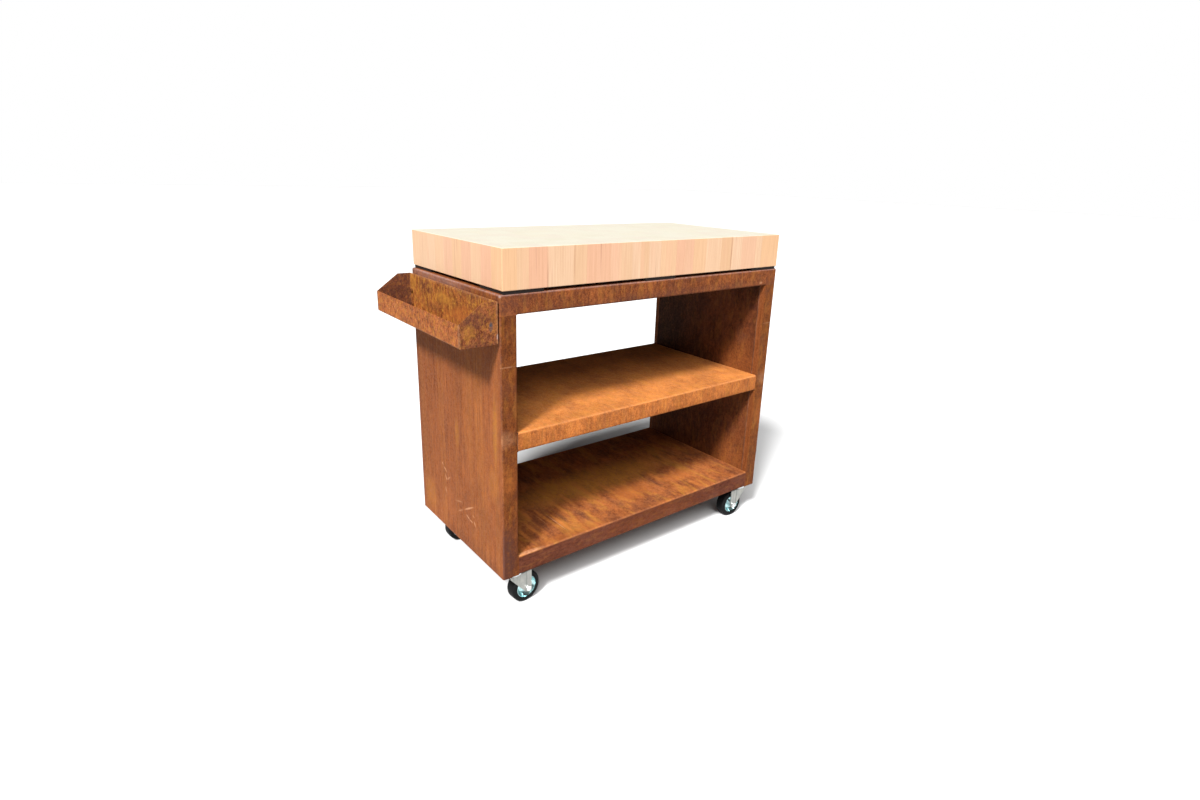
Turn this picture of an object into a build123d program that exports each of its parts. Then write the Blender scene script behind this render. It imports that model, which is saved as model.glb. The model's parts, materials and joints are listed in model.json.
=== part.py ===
from build123d import *
import os
from math import sqrt

# Outdoor work table: a butcher block on a folded steel cabinet that rolls on four swivel castors.
# Millimetres, +Z up. The origin is on the floor, under the middle of the table's outline, tray included.
# +X runs along the table to the right of a person at the front, +Y to the back.

# Steel cabinet, folded from weathering sheet steel
cabinet_width = 900.0
cabinet_depth = 450.0
cabinet_height = 677.0
wall_width = 42.0           # thickness of a hollow side wall, and width of its front and back edges
sheet = 3.0
bend = 4.5                  # outside radius of a fold
deck_edge = 45.5            # height of the top deck's folded edges
shelf_edge = 46.0
floor_edge = 50.0
shelf_level = 364.0         # top of the middle shelf above the cabinet's underside
return_lip = 18.0           # width of the lip folded in at the end of each edge

# Butcher block
block_width = 888.0
block_depth = 454.0
block_thickness = 88.0
block_ease = 1.0            # rounding of the block's edges
block_gap = 7.0             # shadow gap between the deck and the block
pad_side = 100.0
pad_inset = 53.0            # from the block's ends to the middle of a pad
pad_front_inset = 51.0      # from the cabinet's front and back to the middle of a pad
pad_columns = 3
screw_radius = 4.0
screw_bite = 45.0           # length of screw inside the block
screw_head_flats = 13.0
screw_head_height = 5.5
screw_washer_radius = 12.0
screw_washer_thickness = 1.6

# Tray on the left side, as long as the cabinet is deep
tray_depth = 89.0
tray_back_height = 90.0
tray_lip_height = 50.0
tray_flat = 34.0            # level part of an end plate's top edge, next to the wall
tray_sheet = 2.5
tray_bend = 4.0
tray_gap = 4.5              # from the side wall to the tray's back
tray_drop = 13.0            # from the cabinet's top down to the tray's top
tray_bolt_inset = 12.0      # from a tray end to a bolt
tray_bolt_heights = (12.0, 46.0)    # above the tray's bottom
tray_bolt_radius = 3.0
tray_bolt_head_radius = 5.5
tray_bolt_head_height = 3.3
tray_bolt_end = 3.0         # bolt thread past the end of its rivet nut
tray_spacer_radius = 7.0
rivet_nut_radius = 4.5
rivet_nut_length = 14.0
rivet_nut_flange_radius = 6.5
rivet_nut_flange = 1.0      # thickness of the flange outside the wall
rivet_nut_bulge_radius = 6.0
rivet_nut_bulge = 4.0       # length of the collapsed part inside the wall

# Castors
castor_trail = 33.0         # from the kingpin to the axle, seen from above
castor_side_inset = 41.0    # from the cabinet's side to the kingpin
castor_front_inset = 31.0
castor_back_inset = 68.0
castor_turns = {            # direction in which each wheel trails, degrees from +X
    "front_left": 5.0,
    "front_right": 178.0,
    "back_left": 1.0,
    "back_right": 193.0,
}
castor_plate_thickness = 5.0
castor_plate_reach = 55.0   # from the kingpin to the plate's inner edges
head_radius = 24.0
head_thickness = 3.0
head_skirt = 1.5            # wall of the skirt round the balls
ball_radius = 2.5
ball_circle = 17.0
ball_count = 14
kingpin_radius = 9.0
retainer_radius = 14.0
retainer_thickness = 2.5
castor_bolt_radius = 6.0
castor_bolt_flats = 19.0
castor_bolt_head_height = 7.5
castor_bolt_end = 3.0       # thread past the nut
castor_nut_height = 10.0
castor_washer_radius = 12.0
castor_washer_thickness = 2.5

# Fork and axle
fork_sheet = 2.5
fork_bend = 4.0             # outside radius between the crown and a leg
fork_back = 17.0            # reach of a leg behind the kingpin
fork_shoulder = 7.0         # height of a leg's back edge under the crown
fork_eye = 11.0             # radius of a leg's lower end
axle_radius = 4.0
axle_flats = 13.0
axle_head_height = 5.3
axle_nut_height = 6.5
axle_end = 2.0              # thread past the nut

# Wheel
wheel_radius = 40.0
tyre_width = 30.0
tyre_shoulder = 6.0
rim_radius = 28.4
rim_lip = 1.6               # from the tyre's side in to the rim's lip
rim_well_radius = 20.0
rim_well_width = 7.0
rim_sheet = 1.4
hub_radius = 9.0

# Clearances
leg_clearance = 2.5         # tyre to fork leg
crown_clearance = 5.9       # tyre to the fork's crown
running_clearance = 0.05    # hub on its axle bolt, fork on its kingpin
seam_gap = 0.5              # open seam between an inner skin and the lips beside it
side_play = 0.3             # hub to fork leg, fork to retainer, head skirt to fork
ball_play = 0.3             # ball to race
kingpin_clearance = 0.2     # castor bolt in the hollow kingpin
bolt_clearance = 0.5        # bolts, screws and rivet nuts in plain holes
seat_clearance = 0.02       # round parts pushed together

# Levels above the floor
axle_level = wheel_radius
crown_under = 2 * wheel_radius + crown_clearance
crown_top = crown_under + fork_sheet
head_under = crown_top + 2 * (ball_radius + ball_play)
cabinet_bottom = head_under + head_thickness
cabinet_top = cabinet_bottom + cabinet_height
floor_top = cabinet_bottom + floor_edge
shelf_top = cabinet_bottom + shelf_level
deck_bottom = cabinet_top - deck_edge
deck_under = cabinet_top - sheet
block_bottom = cabinet_top + block_gap
block_top = block_bottom + block_thickness
tray_top = cabinet_top - tray_drop
tray_bottom = tray_top - tray_back_height
castor_plate_top = cabinet_bottom + castor_plate_thickness
retainer_top = crown_under - side_play
retainer_under = retainer_top - retainer_thickness
shoulder_level = crown_top - fork_shoulder

# Places in plan
tray_length = cabinet_depth
tray_reach = tray_gap + tray_depth
middle_x = tray_reach / 2
left_face = middle_x - cabinet_width / 2
right_face = middle_x + cabinet_width / 2
front_face = -cabinet_depth / 2
back_face = cabinet_depth / 2
left_inside = left_face + wall_width
right_inside = right_face - wall_width
inner_bend = bend - sheet
kingpin_bore = castor_bolt_radius + kingpin_clearance
leg_inside = tyre_width / 2 + leg_clearance
leg_outside = leg_inside + fork_sheet
hub_half = leg_inside - side_play
castor_places = {
    "front_left": (left_face + castor_side_inset, front_face + castor_front_inset),
    "front_right": (right_face - castor_side_inset, front_face + castor_front_inset),
    "back_left": (left_face + castor_side_inset, back_face - castor_back_inset),
    "back_right": (right_face - castor_side_inset, back_face - castor_back_inset),
}

ALONG_X = Rot(0, 90, 0)     # turns an upright solid to lie along +X
ACROSS = Rot(90, 0, 0)      # turns an upright solid to lie along -Y


def save(name, shape):
    export_step(shape, f"parts/{name}.step")


def group(solids):
    return Compound(children=[shape.solid() for shape in solids])


def block(x0, x1, y0, y1, z0, z1):
    """A plain box between two corners."""
    return Pos((x0 + x1) / 2, (y0 + y1) / 2, (z0 + z1) / 2) * Box(x1 - x0, y1 - y0, z1 - z0)


def drum(radius, z0, z1):
    """An upright cylinder on the Z axis."""
    return Pos(0, 0, (z0 + z1) / 2) * Cylinder(radius, z1 - z0)


def ring(outer, inner, z0, z1):
    return drum(outer, z0, z1) - drum(inner, z0, z1)


def hexagon(flats, z0, z1):
    outline = RegularPolygon(flats / 2, 6, major_radius=False)
    return Pos(0, 0, z0) * extrude(outline, z1 - z0)


def along_x(profile, x0, x1):
    """A profile drawn as (y, z), drawn out along X."""
    return extrude(Plane(origin=(x0, 0, 0), x_dir=(0, 1, 0), z_dir=(1, 0, 0)) * profile, x1 - x0)


def spread(solid, places):
    """Copies of a solid at plan positions."""
    return [Pos(x, y, 0) * solid for x, y in places]


def folded_section(edge):
    """Section of a folded sheet: a wide side at the top, two edges and two return lips, open below."""
    outline = RectangleRounded(cabinet_depth, edge, bend)
    hollow = RectangleRounded(cabinet_depth - 2 * sheet, edge - 2 * sheet, inner_bend)
    mouth = Pos(0, -edge / 2) * Rectangle(cabinet_depth - 2 * return_lip, 2 * sheet)
    return outline - hollow - mouth


def folded_pan(edge, top):
    """A folded sheet with its wide side level, between the side walls."""
    return along_x(Pos(0, top - edge / 2) * folded_section(edge), left_inside, right_inside)


def pad_places():
    """Pads under the block's ends and along the deck's edges."""
    reach_x = block_width / 2 - pad_inset
    reach_y = cabinet_depth / 2 - pad_front_inset
    step = 2 * reach_x / (pad_columns - 1)
    columns = [middle_x - reach_x + step * i for i in range(pad_columns)]
    return [(x, y) for x in columns for y in (-reach_y, reach_y)]


def make_worktop():
    places = pad_places()
    pilot = drum(screw_radius + seat_clearance, block_bottom, block_bottom + screw_bite)
    wood = block(middle_x - block_width / 2, middle_x + block_width / 2,
                 -block_depth / 2, block_depth / 2, block_bottom, block_top)
    wood = fillet(wood.edges(), block_ease)
    wood -= spread(pilot, places)
    save("worktop_block", wood)

    pad = block(-pad_side / 2, pad_side / 2, -pad_side / 2, pad_side / 2, cabinet_top, block_bottom)
    pad -= drum(screw_radius + bolt_clearance, cabinet_top, block_bottom)
    save("worktop_pads", group(spread(pad, places)))

    washer_under = deck_under - screw_washer_thickness
    washer = ring(screw_washer_radius, screw_radius + seat_clearance, washer_under, deck_under)
    save("worktop_washers", group(spread(washer, places)))

    screw = drum(screw_radius, washer_under, block_bottom + screw_bite)
    screw += hexagon(screw_head_flats, washer_under - screw_head_height, washer_under)
    save("worktop_screws", group(spread(screw, places)))


def tray_bolt_places():
    reach = tray_length / 2 - tray_bolt_inset
    return [(y, tray_bottom + height) for y in (-reach, reach) for height in tray_bolt_heights]


def rivet_nut_holes():
    """Cutters through the left wall's outer sheet, one for each rivet nut."""
    drill = ALONG_X * drum(rivet_nut_radius + seat_clearance, -sheet, 2 * sheet)
    return [Pos(left_face, y, z) * drill for y, z in tray_bolt_places()]


def make_deck():
    shell = block(left_face, right_face, front_face, back_face, deck_bottom, cabinet_top)
    outer_edges = shell.edges().filter_by(Axis.Z) + shell.edges().group_by(Axis.Z)[-1]
    shell = fillet(outer_edges, bend)
    shell -= block(left_face + sheet, right_face - sheet, front_face + sheet, back_face - sheet,
                   deck_bottom, deck_under)
    shell -= block(left_inside, right_inside, front_face, back_face, deck_bottom, cabinet_top)
    deck = shell + folded_pan(deck_edge, cabinet_top)
    deck -= spread(drum(screw_radius + bolt_clearance, deck_under, cabinet_top), pad_places())
    save("top_deck", deck - rivet_nut_holes())


def left_side_skin():
    """Folded outer skin of the left wall. Its edges are the posts, and their lips start at the floor."""
    middle = (left_face + left_inside) / 2
    folded = Pos(middle, 0, floor_top) * extrude(Rot(0, 0, 90) * folded_section(wall_width),
                                                 deck_bottom - floor_top)
    below = block(left_face, left_inside, front_face, back_face, cabinet_bottom, floor_top)
    hollow = block(left_face + sheet, left_inside, front_face + sheet, back_face - sheet,
                   cabinet_bottom, floor_top)
    below = fillet(below.edges().filter_by(Axis.Z).group_by(Axis.X)[0], bend)
    hollow = fillet(hollow.edges().filter_by(Axis.Z).group_by(Axis.X)[0], inner_bend)
    return folded + (below - hollow)


def left_inner_skin():
    """Flat skin between the lips of the posts, wider up in the deck, with a foot across the wall."""
    reach = cabinet_depth / 2 - return_lip - seam_gap
    skin = block(left_inside - sheet, left_inside, -reach, reach, floor_top - sheet, deck_under)
    skin += block(left_inside - sheet, left_inside, front_face + sheet, back_face - sheet,
                  deck_bottom, deck_under)
    return skin + block(left_face + sheet, left_inside, -reach, reach, floor_top - sheet, floor_top)


def make_walls():
    middle = Plane(origin=(middle_x, 0, 0), z_dir=(1, 0, 0))
    save("left_side_skin", left_side_skin() - rivet_nut_holes())
    save("right_side_skin", mirror(left_side_skin(), middle))
    save("left_inner_skin", left_inner_skin())
    save("right_inner_skin", mirror(left_inner_skin(), middle))


def make_shelf():
    save("middle_shelf", folded_pan(shelf_edge, shelf_top))


def castor_plate_blank(name):
    """Corner plate before its bolt hole, from the cabinet's skins to past the kingpin."""
    x, y = castor_places[name]
    if "left" in name:
        x0, x1, corner_x = left_face + sheet, x + castor_plate_reach, left_face + sheet
    else:
        x0, x1, corner_x = x - castor_plate_reach, right_face - sheet, right_face - sheet
    if "front" in name:
        y0, y1, corner_y = front_face + sheet, y + castor_plate_reach, front_face + sheet
    else:
        y0, y1, corner_y = y - castor_plate_reach, back_face - sheet, back_face - sheet
    plate = block(x0, x1, y0, y1, cabinet_bottom, castor_plate_top)
    corner = plate.edges().filter_by(Axis.Z).sort_by_distance((corner_x, corner_y, cabinet_bottom))[0]
    return fillet(corner, bend)


def make_floor():
    floor = folded_pan(floor_edge, floor_top)
    plates = []
    for name, (x, y) in castor_places.items():
        blank = castor_plate_blank(name)
        floor -= blank
        plates.append(blank - Pos(x, y, 0) * drum(castor_bolt_radius + bolt_clearance, cabinet_bottom,
                                                  castor_plate_top))
    save("floor_pan", floor)
    save("castor_plates", group(plates))


def make_tray():
    back = left_face - tray_gap
    front = back - tray_depth
    lip_top = tray_bottom + tray_lip_height
    end_outline = Polygon((back, tray_bottom), (back, tray_top), (back - tray_flat, tray_top),
                          (front, lip_top), (front, tray_bottom), align=None)
    end_outline = fillet(end_outline.vertices().group_by(Axis.Y)[0], tray_bend)
    inside = Polygon((back - tray_sheet, tray_bottom + tray_sheet), (back - tray_sheet, tray_top),
                     (front + tray_sheet, tray_top), (front + tray_sheet, tray_bottom + tray_sheet),
                     align=None)
    inside = fillet(inside.vertices().group_by(Axis.Y)[0], tray_bend - tray_sheet)
    pan_outline = Polygon((back, tray_bottom), (back, tray_top), (back - tray_sheet, tray_top),
                          (back - tray_sheet, lip_top), (front, lip_top), (front, tray_bottom), align=None)
    low_corners = pan_outline.vertices().group_by(Axis.Y)[0]
    pan_outline = fillet(low_corners, tray_bend) - inside

    def across(profile, y0, y1):
        return extrude(Plane(origin=(0, y1, 0), x_dir=(1, 0, 0), z_dir=(0, -1, 0)) * profile, y1 - y0)

    end = tray_length / 2
    pan = across(pan_outline, -end + tray_sheet, end - tray_sheet)
    bolt_hole = ALONG_X * drum(tray_bolt_radius + bolt_clearance, -tray_sheet, 0)
    pan -= [Pos(back, y, z) * bolt_hole for y, z in tray_bolt_places()]
    save("tray_pan", pan)
    save("tray_front_end", across(end_outline, -end, -end + tray_sheet))
    save("tray_back_end", across(end_outline, end - tray_sheet, end))


def make_tray_fixings():
    nut_end = rivet_nut_length - rivet_nut_flange
    nut = drum(rivet_nut_radius, 0, nut_end)
    nut += drum(rivet_nut_flange_radius, -rivet_nut_flange, 0)
    nut += drum(rivet_nut_bulge_radius, sheet, sheet + rivet_nut_bulge)
    nut -= drum(tray_bolt_radius + seat_clearance, -rivet_nut_flange, nut_end)
    spacer = ring(tray_spacer_radius, tray_bolt_radius + bolt_clearance, -tray_gap, -rivet_nut_flange)
    head_seat = -tray_gap - tray_sheet
    bolt = drum(tray_bolt_radius, head_seat, nut_end + tray_bolt_end)
    head = drum(tray_bolt_head_radius, head_seat - tray_bolt_head_height, head_seat)
    bolt += fillet(head.edges().group_by(Axis.Z)[0], tray_bolt_head_height / 2)
    for name, solid in (("tray_rivet_nuts", nut), ("tray_spacers", spacer), ("tray_bolts", bolt)):
        save(name, group([Pos(left_face, y, z) * ALONG_X * solid for y, z in tray_bolt_places()]))


def castor_head():
    head = drum(head_radius, head_under, cabinet_bottom)
    head += ring(head_radius, head_radius - head_skirt, crown_top + side_play, head_under)
    head += drum(kingpin_radius, retainer_top, head_under)
    return head - drum(kingpin_bore, retainer_top, cabinet_bottom)


def castor_balls():
    ball = Pos(ball_circle, 0, crown_top + ball_play + ball_radius) * Sphere(ball_radius)
    return [Rot(0, 0, 360 / ball_count * i) * ball for i in range(ball_count)]


def fork_leg():
    """One leg as a flat plate in the trail direction, from the crown to the axle eye."""
    front = castor_trail + fork_eye
    top = Polyline((-fork_back, shoulder_level), (-fork_back, crown_top), (front, crown_top),
                   (front, axle_level))
    eye = CenterArc((castor_trail, axle_level), fork_eye, 0, 360)
    outline = make_hull(top.edges() + eye.edges())
    plate = extrude(Plane.XZ * outline, fork_sheet)
    return Pos(0, -leg_inside, 0) * plate


def make_fork():
    front = castor_trail + fork_eye
    crown = block(-fork_back, front, -leg_outside, leg_outside, crown_under, crown_top)
    leg = fork_leg()
    fork = crown + leg + mirror(leg, Plane.XZ)
    long_edges = fork.edges().filter_by(Axis.X).group_by(Axis.Z)[-1]
    fork = fillet(long_edges, fork_bend)
    fork += drum(head_radius - head_skirt, crown_under, crown_top)
    fork -= drum(kingpin_radius + running_clearance, crown_under, crown_top)
    axle_hole = ACROSS * drum(axle_radius + seat_clearance, -leg_outside, leg_outside)
    return fork - Pos(castor_trail, 0, axle_level) * axle_hole


def turned(points):
    """Solid of revolution about the axle from (distance along the axle, radius) points."""
    profile = make_face(Polyline(*points, close=True))
    upright = revolve(Plane.XZ * profile, Axis.X)
    return Pos(castor_trail, 0, axle_level) * Rot(0, 0, -90) * upright


def rim_seat():
    """Half of the seat that the rim and the tyre share, from the middle out, as (along, radius)."""
    return [(rim_well_width / 2, rim_well_radius), (tyre_width / 2 - rim_lip, rim_radius)]


def make_tyre():
    half = tyre_width / 2
    well, lip = rim_seat()
    profile = Polygon((-half, lip[1]), (-lip[0], lip[1]), (-well[0], well[1]), well, lip, (half, lip[1]),
                      (half, wheel_radius), (-half, wheel_radius), align=None)
    shoulders = profile.vertices().group_by(Axis.Y)[-1]
    profile = fillet(shoulders, tyre_shoulder)
    upright = revolve(Plane.XZ * profile, Axis.X)
    return Pos(castor_trail, 0, axle_level) * Rot(0, 0, -90) * upright


def make_rim(side):
    """Pressed rim disc on one side of the wheel's middle; side is +1 or -1."""
    well, lip = rim_seat()
    run = lip[0] - well[0]
    rise = lip[1] - well[1]
    slope_length = sqrt(run ** 2 + rise ** 2)
    inset = rim_sheet * slope_length / run
    web_corner = well[1] - inset + (rim_sheet - well[0]) * rise / run
    bore = hub_radius + seat_clearance
    points = [(0, bore), (0, well[1]), well, lip, (lip[0], lip[1] - inset), (rim_sheet, web_corner),
              (rim_sheet, bore)]
    return turned([(side * along, radius) for along, radius in points])


def make_hub():
    bore = axle_radius + running_clearance
    return turned([(-hub_half, bore), (-hub_half, hub_radius), (hub_half, hub_radius), (hub_half, bore)])


def make_axle():
    nut_seat = leg_outside
    nut_end = nut_seat + axle_nut_height
    bolt = drum(axle_radius, -leg_outside, nut_end + axle_end)
    bolt += hexagon(axle_flats, -leg_outside - axle_head_height, -leg_outside)
    nut = hexagon(axle_flats, nut_seat, nut_end) - drum(axle_radius + seat_clearance, nut_seat, nut_end)
    place = Pos(castor_trail, 0, axle_level) * Rot(-90, 0, 0)
    return place * bolt, place * nut


def make_castors():
    axle_bolt, axle_nut = make_axle()
    pieces = {
        "castor_head": castor_head(),
        "castor_balls": castor_balls(),
        "fork": make_fork(),
        "axle_bolt": axle_bolt,
        "axle_nut": axle_nut,
        "tyre": make_tyre(),
        "outer_rim": make_rim(1),
        "inner_rim": make_rim(-1),
        "hub": make_hub(),
    }
    for corner, (x, y) in castor_places.items():
        place = Pos(x, y, 0) * Rot(0, 0, castor_turns[corner])
        for piece, shape in pieces.items():
            if isinstance(shape, list):
                save(f"{piece}_{corner}", group([place * solid for solid in shape]))
            else:
                save(f"{piece}_{corner}", place * shape)


def make_castor_fixings():
    places = castor_places.values()
    retainer = ring(retainer_radius, kingpin_bore, retainer_under, retainer_top)
    save("castor_retainers", group(spread(retainer, places)))

    washer_top = castor_plate_top + castor_washer_thickness
    washer = ring(castor_washer_radius, castor_bolt_radius + seat_clearance, castor_plate_top, washer_top)
    save("castor_washers", group(spread(washer, places)))

    nut_top = washer_top + castor_nut_height
    nut = hexagon(castor_bolt_flats, washer_top, nut_top)
    nut -= drum(castor_bolt_radius + seat_clearance, washer_top, nut_top)
    save("castor_nuts", group(spread(nut, places)))

    bolt = drum(castor_bolt_radius, retainer_under, nut_top + castor_bolt_end)
    bolt += hexagon(castor_bolt_flats, retainer_under - castor_bolt_head_height, retainer_under)
    save("castor_bolts", group(spread(bolt, places)))


os.makedirs("parts", exist_ok=True)
make_worktop()
make_deck()
make_walls()
make_shelf()
make_floor()
make_tray()
make_tray_fixings()
make_castors()
make_castor_fixings()
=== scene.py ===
from bisect import bisect
from collections import namedtuple
import json
import math
import random

import bmesh
import bpy
from bpy.props import FloatProperty, FloatVectorProperty, IntProperty, PointerProperty
from bpy.types import NodeSocket, Operator, Panel, PropertyGroup
from mathutils import Matrix, Vector


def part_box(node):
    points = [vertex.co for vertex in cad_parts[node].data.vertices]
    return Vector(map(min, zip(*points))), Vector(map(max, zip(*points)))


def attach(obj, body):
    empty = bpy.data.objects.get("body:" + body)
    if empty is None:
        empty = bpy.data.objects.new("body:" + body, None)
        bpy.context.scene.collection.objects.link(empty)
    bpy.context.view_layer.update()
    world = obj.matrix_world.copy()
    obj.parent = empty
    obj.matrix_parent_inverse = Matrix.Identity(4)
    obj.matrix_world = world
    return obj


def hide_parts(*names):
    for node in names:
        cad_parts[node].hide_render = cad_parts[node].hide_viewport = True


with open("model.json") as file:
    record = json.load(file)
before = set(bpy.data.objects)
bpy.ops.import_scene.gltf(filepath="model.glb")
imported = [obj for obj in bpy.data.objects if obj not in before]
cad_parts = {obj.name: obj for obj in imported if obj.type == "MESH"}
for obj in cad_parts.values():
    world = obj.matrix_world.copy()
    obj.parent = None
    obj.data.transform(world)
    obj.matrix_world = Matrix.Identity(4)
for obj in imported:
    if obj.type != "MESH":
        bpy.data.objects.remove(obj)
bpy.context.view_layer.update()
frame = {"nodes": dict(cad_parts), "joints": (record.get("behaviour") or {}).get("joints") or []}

bl_info = {
    "name": "Outdoor work table",
    "version": (1, 0, 0),
    "blender": (4, 5, 0),
    "location": "View3D > Sidebar > Work table",
    "description": "Finishes a rolling work table: butcher block, rusted sheet steel, welds and castors",
    "category": "Object",
}

CORNERS = ("front_left", "front_right", "back_left", "back_right")
JOINTS = {joint["name"]: joint for joint in frame["joints"]}
UP = Vector((0, 0, 1))
X_AXIS, Y_AXIS, Z_AXIS = 0, 1, 2

# Places of the sheet steel, from the frame
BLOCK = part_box("worktop_block")
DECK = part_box("top_deck")
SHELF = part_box("middle_shelf")
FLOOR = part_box("floor_pan")
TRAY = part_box("tray_pan")
LEFT_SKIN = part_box("left_side_skin")
LEFT_FACE, RIGHT_FACE = DECK[0].x, DECK[1].x
FRONT, BACK = DECK[0].y, DECK[1].y
LEFT_INSIDE, RIGHT_INSIDE = SHELF[0].x, SHELF[1].x


def colour(name, description, default):
    return FloatVectorProperty(name=name, description=description, default=default, size=3, subtype="COLOR",
                               min=0.0, max=1.0)


def length(name, description, default):
    return FloatProperty(name=name, description=description, default=default, unit="LENGTH",
                         subtype="DISTANCE", min=0.0, precision=4)


def turning(name, description, default):
    return FloatProperty(name=name, description=description, default=default, unit="ROTATION",
                         subtype="ANGLE")


def power(name, description, default):
    return FloatProperty(name=name, description=description, default=default, min=0.0)


def direction(name, description, default):
    return FloatVectorProperty(name=name, description=description, default=default, size=3,
                               subtype="DIRECTION")


class BlockSettings(PropertyGroup):
    """The butcher block."""
    rows: IntProperty(name="Rows", description="Rows of staves from front to back", default=10, min=2)
    narrow: length("Narrowest stave", "Least width of a stave along the table", 0.024)
    wide: length("Widest stave", "Greatest width of a stave along the table", 0.058)
    ease: length("Edge ease", "Rounding of the block's edges", 0.0010)
    groove: length("Glue line", "Depth and half width of the line between two staves", 0.0002)
    seed: IntProperty(name="Seed", description="Draw of the stave widths and tones", default=7)
    cream: colour("Cream stave", "Palest wood", (0.412, 0.278, 0.1800))
    pink: colour("Pink stave", "Reddish wood", (0.395, 0.212, 0.1300))
    # Paler sanded end grain on the top, lightened further with painted light where the top is brightly lit
    sanded_top_and_painted_light: colour("Planed top", "End grain of the sanded top", (0.425, 0.520, 0.4800))
    honey: colour("Honey stave", "Yellow wood", (0.375, 0.222, 0.1150))


class SteelSettings(PropertyGroup):
    """The rust on each kind of sheet."""
    panel: colour("Side panel", "Rust on the outside of a side wall", (0.150, 0.0435, 0.0128))
    post: colour("Left post", "Rust on the front and back of the left wall", (0.085, 0.0220, 0.0048))
    right_post: colour("Right post", "Rust on the front and back of the right wall", (0.090, 0.0245, 0.0054))
    rail: colour("Rail", "Rust on the top deck's edges", (0.120, 0.0325, 0.0090))
    shelf: colour("Shelf", "Rust on top of the middle shelf", (0.305, 0.101, 0.0245))
    apron: colour("Shelf apron", "Rust on the shelf's folded edges", (0.240, 0.072, 0.0165))
    floor: colour("Floor", "Rust on the cabinet's floor", (0.172, 0.0500, 0.0138))
    skirt: colour("Floor skirt", "Rust on the floor's folded edges", (0.068, 0.0185, 0.0082))
    # Darker than the outside panel, partly as painted shade for the cabinet's inside; the castor plates and
    # the tray's fixings share this rust
    inner: colour("Inner wall", "Rust on the inside of a side wall", (0.066, 0.0170, 0.0054))
    tray: colour("Tray", "Rust on the tray", (0.150, 0.044, 0.0105))
    tray_lip: colour("Tray lip", "Rust on the outside of the tray's lip", (0.172, 0.0485, 0.0138))
    tray_end: colour("Tray end", "Rust on the tray's end plates", (0.108, 0.0305, 0.0100))
    slot: colour("Slot", "Bluish mark on the tray", (0.030, 0.032, 0.0400))
    # Painted shade: this near-black rust is laid where the cabinet's bays fall into shade, at the back and
    # under the deck and the shelf
    scale: colour("Mill scale", "Dark scale deep inside the cabinet", (0.012, 0.008, 0.0050))
    # Bare steel with a painted glint: near-white spots on knocked corners
    bare: colour("Bare steel", "Spots where the rust is knocked off", (0.500, 0.470, 0.4600))
    ochre: colour("Ochre", "Patches of fresh yellow rust", (0.300, 0.130, 0.0210))
    purple: colour("Purple", "Patches of old dark rust", (0.050, 0.019, 0.0140))
    worn: colour("Worn edge", "Steel rubbed along a fold", (0.260, 0.130, 0.0700))
    # Painted sheen over rubbed steel: a paler purple-grey on edges and folds that stands in for the light
    # their rounded bends catch
    polished: colour("Polished edge", "Greyish purple sheen on the deck's edges", (0.190, 0.120, 0.1050))
    scratch: colour("Scratch", "Pale scratch down to fresh rust", (0.340, 0.165, 0.0850))
    weld: colour("Weld", "Rusted weld bead", (0.095, 0.034, 0.0150))
    bead: length("Weld bead", "Radius of a weld bead", 0.0016)
    ripple: length("Weld ripple", "Pitch of the ripples along a bead", 0.0024)


class CastorSettings(PropertyGroup):
    """The swivel castors."""
    tyre_width: length("Tyre width", "Width of a tyre", 0.030)
    tyre_shoulder: length("Tyre shoulder", "Rounding between tread and side", 0.006)
    rim_radius: length("Rim radius", "Radius of a rim's lip", 0.0284)
    well_radius: length("Rim well", "Radius where a rim turns into its flat web", 0.020)
    rim_sheet: length("Rim sheet", "Thickness of a rim disc", 0.0014)
    hub_radius: length("Hub radius", "Outer radius of a hub tube", 0.009)
    fork_sheet: length("Fork sheet", "Thickness of a fork", 0.0025)
    fork_bend: length("Fork bend", "Outside radius between crown and leg", 0.004)
    fork_back: length("Fork back", "Reach of a leg behind the kingpin", 0.017)
    fork_shoulder: length("Fork shoulder", "Height of a leg's back edge under the crown", 0.007)
    fork_eye: length("Fork eye", "Radius of a leg's lower end", 0.011)
    fork_half: length("Fork half width", "From the middle of a fork to the outside of a leg", 0.020)
    crown_top: length("Crown", "Height of a fork's crown above the floor", 0.0884)
    axle_flats: length("Axle flats", "Size of the axle's bolt head and nut", 0.013)
    axle_head: length("Axle head", "Height of the axle's bolt head", 0.0053)
    axle_nut: length("Axle nut", "Height of the axle's nut", 0.0065)
    axle_radius: length("Axle", "Radius of the axle", 0.004)
    axle_end: length("Axle end", "Thread past the axle's nut", 0.002)
    zinc: colour("Zinc", "Bright zinc plate", (0.60, 0.64, 0.65))
    fork: colour("Fork", "Satin zinc of the forks", (0.36, 0.36, 0.335))
    rim: colour("Rim", "Bluish bright zinc of the rims", (0.46, 0.68, 0.69))
    axle: colour("Axle", "Polished zinc of the axles", (0.90, 0.91, 0.91))
    rubber: colour("Rubber", "Black tyre rubber", (0.0020, 0.0020, 0.0022))


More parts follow.
